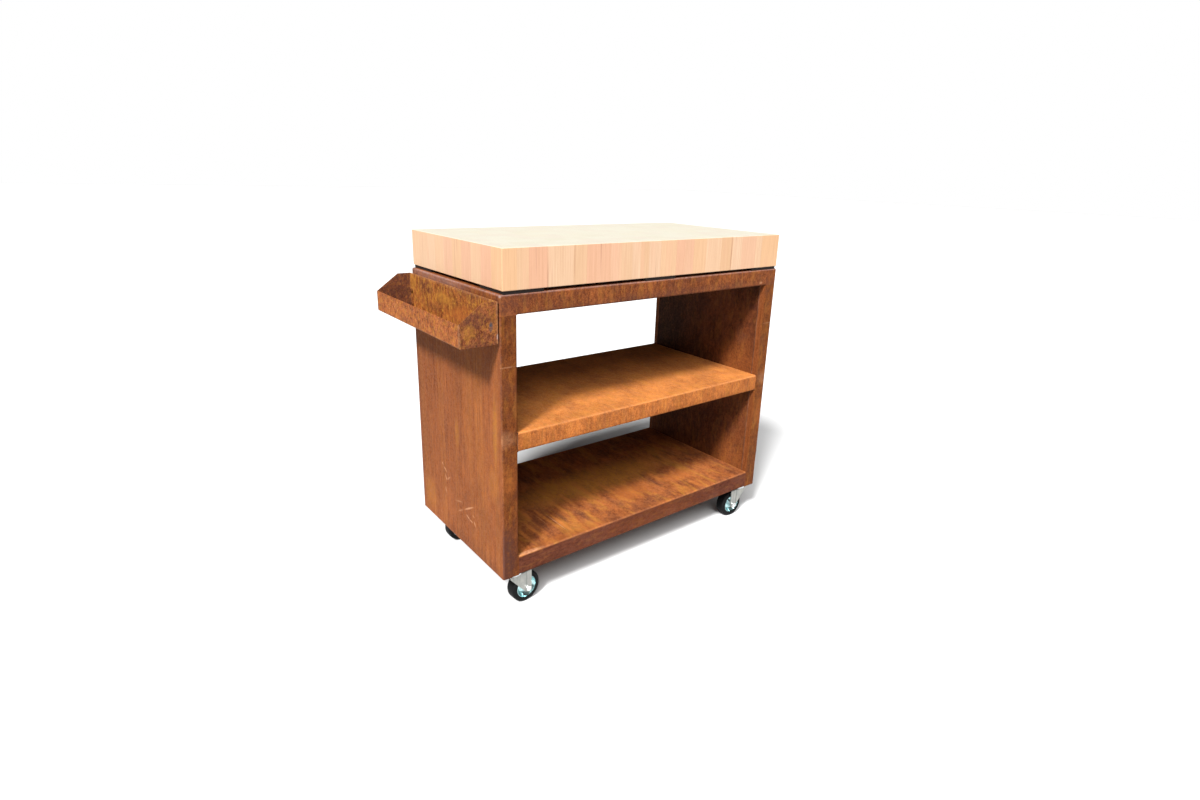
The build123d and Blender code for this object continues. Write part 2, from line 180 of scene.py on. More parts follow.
class StageSettings(PropertyGroup):
    """Floor, light and camera."""
    floor_size: length("Floor size", "Side of the pale floor", 60.0)
    floor: colour("Floor", "Pale floor", (0.500, 0.500, 0.500))
    sun: power("Key light", "Strength of the key light", 8.0)
    sun_size: turning("Key size", "Apparent size of the key light", math.radians(10))
    sun_way: direction("Key direction", "Way the key light travels", (0.614, 0.340, -0.713))
    soft: power("Soft light", "Strength of the soft light", 3.4)
    soft_size: turning("Soft size", "Apparent size of the soft light", math.radians(32))
    soft_way: direction("Soft direction", "Way the soft light travels", (0.36, 0.54, -0.760))
    fill: power("Fill light", "Strength of the room's light from the front", 1.0)
    dim: power("Room light", "Strength of the room's light from behind", 0.04)
    camera_place: FloatVectorProperty(name="Camera", description="Place of the camera", size=3, unit="LENGTH",
                                      default=(-1.06399, -1.40012, 1.01955), subtype="TRANSLATION")
    yaw: turning("Yaw", "Turn of the view to the right of +Y", 0.6695)
    pitch: turning("Pitch", "Tilt of the view below level", 0.301)
    roll: turning("Roll", "Turn of the camera about its view", 0.0316)
    lens: FloatProperty(name="Lens", description="Focal length on a 36 mm sensor", default=19.72)
    shift_y: FloatProperty(name="Shift", description="Upward shift of the frame", default=-0.0193)


class WorkTableSettings(PropertyGroup):
    """Everything that can be set on the work table."""
    block: PointerProperty(type=BlockSettings)
    steel: PointerProperty(type=SteelSettings)
    castor: PointerProperty(type=CastorSettings)
    stage: PointerProperty(type=StageSettings)


# Material nodes

def add(tree, kind, sockets, **settings):
    """A node with its settings made and its sockets filled, each by a value or by another node's output."""
    node = tree.nodes.new(kind)
    for key, value in settings.items():
        setattr(node, key, value)
    for key, value in sockets.items():
        if isinstance(value, NodeSocket):
            tree.links.new(value, node.inputs[key])
        else:
            node.inputs[key].default_value = value
    return node


def calc(tree, operation, first, second=0.0):
    return add(tree, "ShaderNodeMath", {0: first, 1: second}, operation=operation).outputs[0]


def between(tree, value, start, end):
    """Rises softly from 0 where the value is at start to 1 where it is at end."""
    sockets = {"Value": value, "From Min": start, "From Max": end}
    return add(tree, "ShaderNodeMapRange", sockets, interpolation_type="SMOOTHSTEP").outputs[0]


def spread(tree, value, low, high):
    """A value from 0 to 1 laid over the range from low to high."""
    return add(tree, "ShaderNodeMapRange", {"Value": value, "To Min": low, "To Max": high}).outputs[0]


def noise(tree, place, size, stretch=(1, 1, 1), detail=4.0, roughness=0.55, distortion=0.0):
    """Noise with blobs about one size across, drawn out along an axis where its stretch is small."""
    scale = [share / size for share in stretch]
    mapped = add(tree, "ShaderNodeMapping", {"Vector": place, "Scale": scale}).outputs[0]
    sockets = {"Vector": mapped, "Scale": 1.0, "Detail": detail, "Roughness": roughness,
               "Distortion": distortion}
    return add(tree, "ShaderNodeTexNoise", sockets).outputs[0]


def ramp(tree, factor, stops):
    """Colours at places from 0 to 1."""
    node = add(tree, "ShaderNodeValToRGB", {0: factor})
    elements = node.color_ramp.elements
    while len(elements) < len(stops):
        elements.new(0.5)
    for element, (position, tint) in zip(elements, stops):
        element.position = position
        element.color = (*tint, 1.0)
    return node.outputs[0]


def mix(tree, factor, first, second):
    node = add(tree, "ShaderNodeMix", {0: factor}, data_type="RGBA")
    for socket, value in ((node.inputs[6], first), (node.inputs[7], second)):
        if isinstance(value, NodeSocket):
            tree.links.new(value, socket)
        else:
            socket.default_value = (*value, 1.0)
    return node.outputs[2]


def lay(tree, tint, mask, strength, layer):
    """Lays a colour over a tint where a mask says, up to a strength."""
    return mix(tree, calc(tree, "MULTIPLY", mask, strength), tint, layer)


def new_finish(name):
    """A new material, with its tree, its shader and the object's own coordinates."""
    material = bpy.data.materials.new(name)
    material.use_nodes = True
    tree = material.node_tree
    place = tree.nodes.new("ShaderNodeTexCoord").outputs["Object"]
    return material, tree, tree.nodes["Principled BSDF"], place


def bump(tree, shader, height, strength, distance):
    sockets = {"Height": height, "Strength": strength, "Distance": distance}
    tree.links.new(add(tree, "ShaderNodeBump", sockets).outputs[0], shader.inputs["Normal"])


def shade(tint, factors):
    return tuple(min(1.0, channel * factor) for channel, factor in zip(tint, factors))


# Rusted steel

# How a kind of sheet rusts: how far its streaks, clouds, specks and grain swing its tone, the size of its
# clouds, the share and size of its ochre and of its purple patches, how its streaks and its clouds are drawn
# out, the size of its streaks and the share of its dark runs
Rust = namedtuple("Rust", "swings cloud ochre purple streak_draw cloud_draw streak runs",
                  defaults=(0.0026, 0.0))
RUST = {
    "panel": Rust((0.28, 0.13, 0.14, 0.22), 0.09, (0.10, 0.030), (0.11, 0.050), (1, 1, 0.020), (1, 1, 0.5),
                  streak=0.0042),
    "post": Rust((0.10, 0.22, 0.26, 0.28), 0.05, (0.14, 0.014), (0.26, 0.030), (1, 1, 0.25), (1, 1, 0.6)),
    "rail": Rust((0.18, 0.26, 0.30, 0.30), 0.05, (0.16, 0.010), (0.28, 0.040), (1, 1, 0.18), (1, 1, 0.7),
                 runs=0.40),
    "shelf": Rust((0.06, 0.20, 0.16, 0.20), 0.07, (0.24, 0.024), (0.10, 0.060), (1, 0.4, 1), (1, 0.6, 1)),
    "apron": Rust((0.20, 0.20, 0.22, 0.26), 0.05, (0.22, 0.012), (0.14, 0.030), (1, 1, 0.15), (1, 1, 0.6),
                  runs=0.22),
    "floor": Rust((0.30, 0.28, 0.24, 0.20), 0.08, (0.40, 0.036), (0.34, 0.046), (1, 0.30, 1), (1, 0.7, 1),
                  streak=0.0140),
    "skirt": Rust((0.08, 0.30, 0.24, 0.22), 0.05, (0.08, 0.012), (0.40, 0.050), (0.3, 1, 1), (0.5, 1, 1)),
    "inner": Rust((0.10, 0.38, 0.28, 0.22), 0.06, (0.10, 0.014), (0.30, 0.050), (1, 1, 0.3), (1, 1, 0.6)),
    "tray": Rust((0.20, 0.24, 0.46, 0.44), 0.05, (0.80, 0.007), (0.45, 0.009), (1, 1, 0.5), (1, 1, 0.5)),
    "tray_lip": Rust((0.14, 0.24, 0.50, 0.46), 0.05, (0.40, 0.009), (0.35, 0.012), (1, 1, 0.7), (1, 1, 0.7)),
    "tray_end": Rust((0.16, 0.24, 0.46, 0.48), 0.04, (0.34, 0.006), (0.26, 0.007), (1, 1, 0.6), (1, 1, 0.7)),
}
RUST["right_post"] = RUST["post"]
# Tone of the rust, as shares of its own colour
RUST_TONES = ((0.0, (0.26, 0.22, 0.28)), (0.3, (0.62, 0.57, 0.62)), (0.5, (1.0, 1.0, 1.0)),
              (0.7, (1.42, 1.48, 1.40)), (1.0, (1.95, 2.3, 2.5)))
# Sizes of the specks, grain, bunches of streaks, haze, dark runs, breaks and pits, the same on all sheets
SPECK, GRAIN, BUNCH, HAZE, RUN, BREAK, PIT = 0.008, 0.0024, 0.045, 0.014, 0.0060, 0.006, 0.0018
# How far from an edge the steel is rubbed
RUBBED_REACH = 0.0055

# A soft-edged mark in the rust: its middle, half sizes, colour, strength and turn about X
Mark = namedtuple("Mark", "middle half key strength turn", defaults=(0.0,))


def side_marks(x, rows, depth=0.02):
    """Marks on a face across X, each by y, z, its half sizes, colour, strength and any turn."""
    return [Mark((x, y, z), (depth, wide, high), *rest) for y, z, wide, high, *rest in rows]


def front_marks(y, rows, depth=0.02):
    """Marks on a face across Y, each by x, z, its half sizes, colour and strength."""
    return [Mark((x, y, z), (wide, depth, high), *rest) for x, z, wide, high, *rest in rows]


def top_marks(z, rows, depth=0.004):
    """Marks on a level face, each by x, y, its half sizes, colour and strength."""
    return [Mark((x, y, z), (wide, deep, depth), *rest) for x, y, wide, deep, *rest in rows]


def patches(tree, place, size, stretch=(1, 1, 1), **settings):
    """Noise with full contrast, from 0 to 1."""
    return between(tree, noise(tree, place, size, stretch, **settings), 0.34, 0.66)


def rust_colour(tree, place, steel, sheet):
    """Colour of one kind of sheet, from dark to pale, with ochre and purple patches and dark runs."""
    rust, own = RUST[sheet], getattr(steel, sheet)
    fine = calc(tree, "SUBTRACT", patches(tree, place, rust.streak, rust.streak_draw, detail=3.0), 0.5)
    bunches = patches(tree, place, BUNCH, rust.cloud_draw, detail=2.0)
    layers = (
        calc(tree, "ADD", calc(tree, "MULTIPLY", fine, bunches), 0.5),
        patches(tree, place, rust.cloud, rust.cloud_draw, detail=9.0, roughness=0.62, distortion=0.4),
        patches(tree, place, SPECK, rust.cloud_draw, detail=5.0, roughness=0.7),
        patches(tree, place, GRAIN, detail=2.0),
    )
    tone = 0.5 - 0.5 * sum(rust.swings)
    for layer, swing in zip(layers, rust.swings):
        tone = calc(tree, "ADD", calc(tree, "MULTIPLY", layer, swing), tone)
    tint = ramp(tree, tone, [(position, shade(own, factors)) for position, factors in RUST_TONES])
    haze = patches(tree, place, HAZE, rust.cloud_draw, detail=7.0, roughness=0.7)
    tint = lay(tree, tint, haze, 0.25, shade(own, (1.04, 1.45, 2.4)))
    for (share, size), draw, patch in ((rust.purple, rust.cloud_draw, steel.purple),
                                       (rust.ochre, rust.streak_draw, steel.ochre)):
        spots = noise(tree, place, size, draw, detail=6.0, roughness=0.66, distortion=0.4)
        tint = lay(tree, tint, between(tree, spots, 0.48, 0.64), share, tuple(patch))
    if rust.runs:
        runs = noise(tree, place, RUN, rust.streak_draw, detail=2.0)
        tint = lay(tree, tint, between(tree, runs, 0.60, 0.68), rust.runs, shade(own, (0.42, 0.40, 0.50)))
    return tint


def near_edges(tree, place, edges, reach):
    """1 on any of the edges, each where two planes meet, and 0 beyond the reach."""
    axes = add(tree, "ShaderNodeSeparateXYZ", {0: place}).outputs
    nearest = None
    for planes in edges:
        away = [calc(tree, "ABSOLUTE", calc(tree, "SUBTRACT", axes[axis], level)) for axis, level in planes]
        gap = calc(tree, "MAXIMUM", *away)
        nearest = gap if nearest is None else calc(tree, "MINIMUM", nearest, gap)
    return between(tree, nearest, reach, 0.0)


def past(tree, place, axis, start, end, both_ways=False):
    """0 before a plane and 1 after it, softly; both ways takes the distance from the middle."""
    value = add(tree, "ShaderNodeSeparateXYZ", {0: place}).outputs[axis]
    if both_ways:
        value = calc(tree, "ABSOLUTE", value)
    return between(tree, value, start, end)


def within(tree, place, mark):
    """1 in the middle of a mark and 0 outside it."""
    sockets = {"Vector": place, "Location": mark.middle, "Rotation": (mark.turn, 0, 0), "Scale": mark.half}
    local = add(tree, "ShaderNodeMapping", sockets, vector_type="TEXTURE").outputs[0]
    reach = add(tree, "ShaderNodeVectorMath", {0: local}, operation="LENGTH").outputs["Value"]
    return between(tree, reach, 1.0, 0.35)


def rusted_steel(name, steel, sheet, second=None, edges=(), wear=0.5, worn="worn", marks=()):
    """Rusted sheet steel. The second kind of sheet is given with the axis and levels where it takes over."""
    material, tree, shader, place = new_finish(name)
    tint = rust_colour(tree, place, steel, sheet)
    if second:
        other, axis, start, end, both_ways = second
        mask = past(tree, place, axis, start, end, both_ways)
        tint = mix(tree, mask, tint, rust_colour(tree, place, steel, other))
    broken = patches(tree, place, BREAK, detail=5.0, roughness=0.65)
    for mark in marks:
        mask = calc(tree, "MULTIPLY", within(tree, place, mark), spread(tree, broken, 0.35, 1.0))
        tint = lay(tree, tint, mask, mark.strength, tuple(getattr(steel, mark.key)))
    if edges:
        rubbed = near_edges(tree, place, edges, RUBBED_REACH)
        rubbed = calc(tree, "MULTIPLY", rubbed, spread(tree, broken, 0.25, 1.0))
        tint = lay(tree, tint, rubbed, wear, tuple(getattr(steel, worn)))
    tree.links.new(tint, shader.inputs["Base Color"])
    tree.links.new(spread(tree, broken, 0.55, 0.85), shader.inputs["Roughness"])
    shader.inputs["Specular IOR Level"].default_value = 0.05
    pits = noise(tree, place, PIT, detail=3.0)
    bump(tree, shader, calc(tree, "ADD", pits, broken), 0.3, 0.0004)
    return material


# Wood, plated steel and rubber

# Depths under the block's top where its pale top colour starts and where it has taken over; that colour is
# sanded end grain with painted light on the lit top
PLANED_START, PLANED_END = 0.0009, 0.0002


def stave_wood(name, block):
    """Wood of the block: each stave has its own tone and its own rings about an upright pith."""
    material, tree, shader, place = new_finish(name)
    tone = add(tree, "ShaderNodeAttribute", {}, attribute_name="stave_tone").outputs["Fac"]
    pith = add(tree, "ShaderNodeAttribute", {}, attribute_name="stave_pith").outputs["Vector"]
    glue = add(tree, "ShaderNodeAttribute", {}, attribute_name="glue_line").outputs["Fac"]
    top = past(tree, place, Z_AXIS, BLOCK[1].z - PLANED_START, BLOCK[1].z - PLANED_END)
    local = add(tree, "ShaderNodeVectorMath", {0: place, 1: pith}, operation="SUBTRACT").outputs[0]
    cream, pink, honey = (tuple(tint) for tint in (block.cream, block.pink, block.honey))
    deep = shade(honey, (1.08,) * 3)
    tint = ramp(tree, tone, [(0.0, honey), (0.3, cream), (0.55, pink), (0.8, cream), (1.0, deep)])
    waves = {"Vector": local, "Scale": 70.0, "Distortion": 2.5, "Detail": 3.0, "Detail Scale": 0.6}
    rings = add(tree, "ShaderNodeTexWave", waves, wave_type="RINGS", rings_direction="Z").outputs["Fac"]
    fibres = noise(tree, local, 0.0022, stretch=(1, 1, 0.02), detail=5.0, roughness=0.65)
    bands = noise(tree, local, 0.016, stretch=(1, 1, 0.08), detail=4.0)
    dark = noise(tree, local, 0.006, stretch=(1, 1, 0.015), detail=2.0)
    layers = (
        (rings, 0.12, shade(pink, (0.72, 0.62, 0.55))),
        (between(tree, fibres, 0.36, 0.66), 0.34, shade(honey, (0.72, 0.64, 0.54))),
        (between(tree, bands, 0.5, 0.75), 0.45, pink),
        (between(tree, dark, 0.66, 0.74), 0.6, shade(pink, (0.42, 0.32, 0.26))),
        (glue, 0.35, shade(honey, (0.5, 0.42, 0.35))),
        # Partly painted light: the top is laid half over to a near-white colour
        (top, 0.5, tuple(block.sanded_top_and_painted_light)),
    )
    for mask, strength, layer in layers:
        tint = lay(tree, tint, mask, strength, layer)
    tree.links.new(tint, shader.inputs["Base Color"])
    tree.links.new(spread(tree, fibres, 0.38, 0.62), shader.inputs["Roughness"])
    bump(tree, shader, fibres, 0.12, 0.0003)
    return material


def plated_steel(name, tint, rough, streaked=0.3, streak=0.0026):
    """Zinc plate: faint spangle, dark drawn streaks and a few dull patches."""
    material, tree, shader, place = new_finish(name)
    shader.inputs["Metallic"].default_value = 1.0
    cells = add(tree, "ShaderNodeTexVoronoi", {"Vector": place, "Scale": 320.0}).outputs["Color"]
    cells = add(tree, "ShaderNodeSeparateColor", {0: cells}).outputs[0]
    streaks = noise(tree, place, streak, stretch=(1, 1, 0.06), detail=4.0)
    dull = noise(tree, place, 0.018, detail=6.0, roughness=0.65)
    base = ramp(tree, dull, [(0.3, shade(tint, (0.78, 0.80, 0.82))), (0.52, tuple(tint)),
                             (0.75, shade(tint, (1.15, 1.13, 1.10)))])
    base = mix(tree, spread(tree, cells, 0.0, 0.10), base, shade(tint, (0.6, 0.66, 0.68)))
    base = lay(tree, base, between(tree, streaks, 0.52, 0.68), streaked, shade(tint, (0.45, 0.47, 0.50)))
    tree.links.new(base, shader.inputs["Base Color"])
    uneven = calc(tree, "MULTIPLY", calc(tree, "ADD", streaks, dull), 0.5)
    tree.links.new(spread(tree, between(tree, uneven, 0.35, 0.65), *rough), shader.inputs["Roughness"])
    bump(tree, shader, streaks, 0.10, 0.0002)
    return material


def dusty_rubber(name, tint):
    """Black rubber with a fine moulded grain and a little floor dust."""
    material, tree, shader, place = new_finish(name)
    dust = noise(tree, place, 0.012, detail=8.0, roughness=0.7)
    grain = noise(tree, place, 0.0009, detail=3.0)
    dusty = shade(tint, (7.0, 6.6, 6.0))
    base = lay(tree, tuple(tint), between(tree, dust, 0.52, 0.74), 0.30, dusty)
    tree.links.new(base, shader.inputs["Base Color"])
    tree.links.new(spread(tree, dust, 0.5, 0.8), shader.inputs["Roughness"])
    shader.inputs["Specular IOR Level"].default_value = 0.12
    bump(tree, shader, grain, 0.25, 0.0002)
    return material


# Shaping

# Distance within which two vertices are one, and the turn between two faces that stays crisp
MERGE = 1e-7
CRISP = math.radians(38)


def keep_piece(name, shape, material, body, replaced=()):
    """Turns a finished shape into a piece that rides on a body and stands for some nodes."""
    mesh = bpy.data.meshes.new(name)
    shape.to_mesh(mesh)
    shape.free()
    mesh.shade_smooth()
    mesh.set_sharp_from_angle(angle=CRISP)
    mesh.materials.append(material)
    piece = bpy.data.objects.new(name, mesh)
    bpy.context.scene.collection.objects.link(piece)
    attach(piece, body)
    if replaced:
        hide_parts(*replaced)


def finish_node(node, material):
    """Gives a node of the frame its material."""
    materials = frame["nodes"][node].data.materials
    materials.clear()
    materials.append(material)


def rust_node(node, steel, *settings, **more):
    """Rusts a node of the frame in its own way."""
    finish_node(node, rusted_steel(node, steel, *settings, **more))


def once(items):
    """Each item once, in order."""
    return list(dict.fromkeys(items))


def bevel(shape, geom, offset, segments=3, affect="EDGES"):
    bmesh.ops.bevel(shape, geom=geom, offset=offset, offset_type="OFFSET", segments=segments, profile=0.5,
                    affect=affect, material=-1)


def wire(shape, points, closed=True):
    """Vertices joined by edges, in order."""
    verts = [shape.verts.new(point) for point in points]
    ends = verts[1:] + verts[:1] if closed else verts[1:]
    for start, end in zip(verts, ends):
        shape.edges.new((start, end))
    return verts


def spun(points, rounded, steps, closed=True):
    """A shape turned about the Y axis from (along, radius) points, some corners rounded by a radius."""
    shape = bmesh.new()
    verts = wire(shape, [(0, along, radius) for along, radius in points], closed)
    for index, radius in rounded.items():
        bevel(shape, [verts[index]], radius, 5, "VERTICES")
    bmesh.ops.spin(shape, geom=shape.verts[:] + shape.edges[:], cent=(0, 0, 0), axis=(0, 1, 0),
                   angle=math.tau, steps=steps, use_merge=True)
    bmesh.ops.remove_doubles(shape, verts=shape.verts, dist=MERGE)
    bmesh.ops.recalc_face_normals(shape, faces=shape.faces)
    return shape


def hexagon_prism(shape, flats, start, end, ease):
    """A six-sided head along Y, its free edges eased."""
    radius = flats / math.sqrt(3)
    turn = Matrix.Translation((0, start, 0)) @ Matrix.Rotation(math.radians(-90), 4, "X")
    base = bmesh.ops.create_circle(shape, cap_ends=True, segments=6, radius=radius, matrix=turn)
    face = base["verts"][0].link_faces[0]
    raised = bmesh.ops.extrude_face_region(shape, geom=[face])["geom"]
    tops = [item for item in raised if isinstance(item, bmesh.types.BMVert)]
    bmesh.ops.translate(shape, verts=tops, vec=(0, end - start, 0))
    rim = once(edge for vert in tops for edge in vert.link_edges)
    bevel(shape, rim, ease, 2)


def round_bar(shape, radius, start, end, ease):
    """A round bar along Y with eased ends."""
    turn = Matrix.Translation((0, (start + end) / 2, 0)) @ Matrix.Rotation(math.radians(-90), 4, "X")
    bar = bmesh.ops.create_cone(shape, cap_ends=True, segments=32, radius1=radius, radius2=radius,
                                depth=abs(end - start), matrix=turn)
    edges = once(edge for vert in bar["verts"] for edge in vert.link_edges)
    rims = [edge for edge in edges if abs((edge.verts[0].co - edge.verts[1].co).y) < 1e-6]
    bevel(shape, rims, ease, 2)


def weld_bead(shape, start, end, radius, ripple):
    """A rippled bead along a seam, made apart and joined to the shape."""
    run = Vector(end) - Vector(start)
    steps = max(4, 2 * round(run.length / ripple))
    crest = 1.22
    turn = run.to_track_quat("Z", "Y").to_matrix().to_4x4()
    bead = bmesh.new()
    base = bmesh.ops.create_circle(bead, cap_ends=True, segments=8, radius=radius,
                                   matrix=Matrix.Translation(start) @ turn)
    face = base["verts"][0].link_faces[0]
    for step in range(steps):
        raised = bmesh.ops.extrude_face_region(bead, geom=[face])["geom"]
        verts = [item for item in raised if isinstance(item, bmesh.types.BMVert)]
        face = next(item for item in raised if isinstance(item, bmesh.types.BMFace))
        bmesh.ops.translate(bead, verts=verts, vec=run / steps)
        swell = crest if step % 2 else 1 / crest
        middle = face.calc_center_median()
        bmesh.ops.scale(bead, verts=verts, vec=(swell,) * 3, space=Matrix.Translation(-middle))
    bmesh.ops.recalc_face_normals(bead, faces=bead.faces)
    mesh = bpy.data.meshes.new("bead")
    bead.to_mesh(mesh)
    bead.free()
    shape.from_mesh(mesh)
    bpy.data.meshes.remove(mesh)


def castor_place(corner):
    """Matrix from a castor's own frame, with +X along its trail and +Y along its axle, to the table."""
    kingpin = Vector(JOINTS[f"{corner}_swivel"]["pos_m"])
    axle = Vector(JOINTS[f"{corner}_roll"]["pos_m"])
    trail = Vector((axle.x - kingpin.x, axle.y - kingpin.y, 0))
    turn = Matrix.Rotation(math.atan2(trail.y, trail.x), 4, "Z")
    return Matrix.Translation((kingpin.x, kingpin.y, 0)) @ turn, Vector((trail.length, 0, axle.z))


# Butcher block

def cut_row(shape, y0, y1, x):
    """Cuts the faces of one row across the table."""
    faces = [face for face in shape.faces if y0 < face.calc_center_median().y < y1]
    edges = once(edge for face in faces for edge in face.edges)
    verts = once(vert for face in faces for vert in face.verts)
    bmesh.ops.bisect_plane(shape, geom=[*verts, *edges, *faces], dist=MERGE, plane_co=(x, 0, 0),
                           plane_no=(1, 0, 0))


def stave_cuts(draw, low, high, narrow, wide):
    """Places of the joints along one row."""
    cuts = []
    place = low + draw.uniform(narrow, wide)
    while place < high - narrow:
        cuts.append(place)
        place += draw.uniform(narrow, wide)
    return cuts


class WORKTABLE_OT_butcher_block(Operator):
    """Glue up the butcher block from upright staves"""
    bl_idname = "worktable.butcher_block"
    bl_label = "Butcher block"

    def execute(self, context):
        block = context.scene.work_table.block
        draw = random.Random(block.seed)
        low, high = BLOCK
        shape = bmesh.new()
        bmesh.ops.create_cube(shape, size=1.0)
        bmesh.ops.scale(shape, vec=high - low - 2 * Vector((block.groove,) * 3), verts=shape.verts)
        bmesh.ops.translate(shape, vec=(low + high) / 2, verts=shape.verts)
        bevel(shape, shape.edges[:], block.ease, 4)
        depth = (high.y - low.y) / block.rows
        row_cuts = [low.y + depth * row for row in range(1, block.rows)]
        for y in row_cuts:
            bmesh.ops.bisect_plane(shape, geom=[*shape.verts, *shape.edges, *shape.faces], dist=MERGE,
                                   plane_co=(0, y, 0), plane_no=(0, 1, 0))
        joints = []
        for row in range(block.rows):
            cuts = stave_cuts(draw, low.x, high.x, block.narrow, block.wide)
            for x in cuts:
                cut_row(shape, low.y + depth * row, low.y + depth * (row + 1), x)
            joints.append(cuts)
        flats = [face for face in shape.faces if max(map(abs, face.normal)) > 0.9999]
        rims = bmesh.ops.inset_individual(shape, faces=flats, thickness=block.groove, depth=block.groove)
        self.mark_staves(shape, draw, row_cuts, joints, depth, set(rims["faces"]))
        keep_piece("butcher_block", shape, stave_wood("butcher_block", block), "cabinet",
                   ["worktop_block"])
        return {"FINISHED"}

    def mark_staves(self, shape, draw, row_cuts, joints, depth, rims):
        """Stores each stave's tone and pith on its faces, and marks the lines between staves."""
        tone = shape.faces.layers.float.new("stave_tone")
        glue = shape.faces.layers.float.new("glue_line")
        pith = shape.faces.layers.float_vector.new("stave_pith")
        stray = 0.05
        staves = {}
        for row, cuts in enumerate(joints):
            for stave in range(len(cuts) + 1):
                near = cuts[min(stave, len(cuts) - 1)]
                away = Vector((draw.uniform(-stray, stray), draw.uniform(-stray, stray), 0))
                middle = Vector((near, BLOCK[0].y + depth * (row + 0.5), draw.uniform(-1, 1)))
                staves[row, stave] = draw.random(), middle + away
        for face in shape.faces:
            middle = face.calc_center_median()
            row = bisect(row_cuts, middle.y)
            face[tone], face[pith] = staves[row, bisect(joints[row], middle.x)]
            face[glue] = 1.0 if face in rims else 0.0


# Sheet steel

# Where the rust of a folded edge starts and where it has taken over, from the edge's outside
FOLD_START, FOLD_END = 0.005, 0.001


